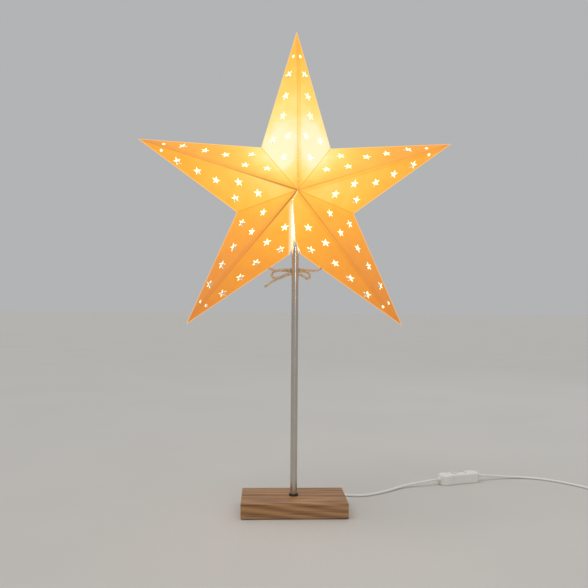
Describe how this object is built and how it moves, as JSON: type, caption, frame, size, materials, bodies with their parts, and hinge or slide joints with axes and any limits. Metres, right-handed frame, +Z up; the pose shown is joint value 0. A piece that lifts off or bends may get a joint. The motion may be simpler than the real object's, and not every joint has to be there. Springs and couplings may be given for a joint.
{
  "type": "paper star table lamp",
  "caption": "Lit folded-paper star lamp with punched stars, on a slim steel pole and an oak block, with a flex, in-line switch and plug.",
  "frame": {"origin": "on the pole's axis, at the surface that the lamp stands on", "axes": "+Z up along the pole, -Y is the face of the star that the picture shows, +X is to the viewer's right"},
  "size_m": [0.8124, 0.263, 0.6966],
  "materials": {
    "star_paper": "matte",
    "oak": "satin",
    "felt": "matte",
    "brushed_pole": "satin",
    "zinc_steel": "satin",
    "dark_metal": "satin",
    "white_plastic": "satin",
    "ceramic_core": "satin",
    "brass_contact": "satin",
    "cap_metal": "satin",
    "black_insulator": "gloss",
    "opal_glass": "satin",
    "white_flex": "satin",
    "blue_wire": "satin",
    "brown_wire": "satin",
    "white_case": "satin",
    "nickel_pin": "polished",
    "black_sleeve": "matte",
    "twine": "matte"
  },
  "bodies": {
    "stand": {"base_block": "oak", "base_felt_pad": "felt", "coil_tie": "black_sleeve", "cord_grip": "white_flex", "flex_base_to_switch": "white_flex", "flex_coil": "white_flex", "flex_coil_to_plug": "white_flex", "flex_inside_lamp": "white_flex", "flex_switch_to_coil": "white_flex", "holder_centre_contact": "brass_contact", "holder_core": "ceramic_core", "holder_cup": "white_plastic", "holder_live_wire": "brown_wire", "holder_neutral_wire": "blue_wire", "holder_screw_shell": "brass_contact", "holder_shell": "white_plastic", "holder_terminals": "brass_contact", "plug_body": "white_case", "plug_boot": "white_flex", "plug_pin_sleeves": "black_sleeve", "plug_pins": "nickel_pin", "pole_collar": "dark_metal", "pole_nut": "zinc_steel", "pole_tube": "brushed_pole", "pole_washer": "zinc_steel", "switch_base": "white_case", "switch_cover": "white_case", "switch_neutral_link": "blue_wire", "switch_nozzles": "white_flex", "switch_pivot_pin": "zinc_steel", "switch_screws": "zinc_steel", "switch_terminals": "brass_contact"},
    "star": {"star_left_lower_sheet": "star_paper", "star_left_upper_sheet": "star_paper", "star_lower_left_outer_sheet": "star_paper", "star_lower_left_seam_sheet": "star_paper", "star_lower_right_outer_sheet": "star_paper", "star_lower_right_seam_sheet": "star_paper", "star_right_lower_sheet": "star_paper", "star_right_upper_sheet": "star_paper", "star_top_left_sheet": "star_paper", "star_top_right_sheet": "star_paper", "tie_knot": "twine", "tie_left_end": "twine", "tie_left_loop": "twine", "tie_left_stopper_knot": "twine", "tie_left_strand": "twine", "tie_right_end": "twine", "tie_right_loop": "twine", "tie_right_stopper_knot": "twine", "tie_right_strand": "twine"},
    "rocker": {"switch_rocker": "white_case"},
    "bulb_lift": {"bulb_tip_contact": "brass_contact"},
    "bulb": {"bulb_insulator": "black_insulator", "bulb_cap": "cap_metal", "bulb_collar": "white_plastic", "bulb_globe": "opal_glass"}
  },
  "joints": [
    {"name": "star_turn", "type": "hinge", "parent": "stand", "child": "star", "pos_m": [0, 0, 0.36], "axis": [0, 0, 1], "continuous": true},
    {"name": "rocker_tilt", "type": "hinge", "parent": "stand", "child": "rocker", "pos_m": [0.2853, 0.163, 0.0136], "axis": [-0.3322, 0.9432, 0], "range_deg": [-14, 0]},
    {"name": "bulb_lift", "type": "slide", "parent": "stand", "child": "bulb_lift", "axis": [0, 0, 1], "range_m": [0, 0.0141]},
    {"name": "bulb_unscrew", "type": "hinge", "parent": "bulb_lift", "child": "bulb", "pos_m": [0, 0, 0.44], "axis": [0, 0, 1], "range_deg": [0, 1860]}
  ],
  "couplings": [
    {"joint": "bulb_unscrew", "follows": "bulb_lift", "rad_per_m": 2228.1}
  ]
}
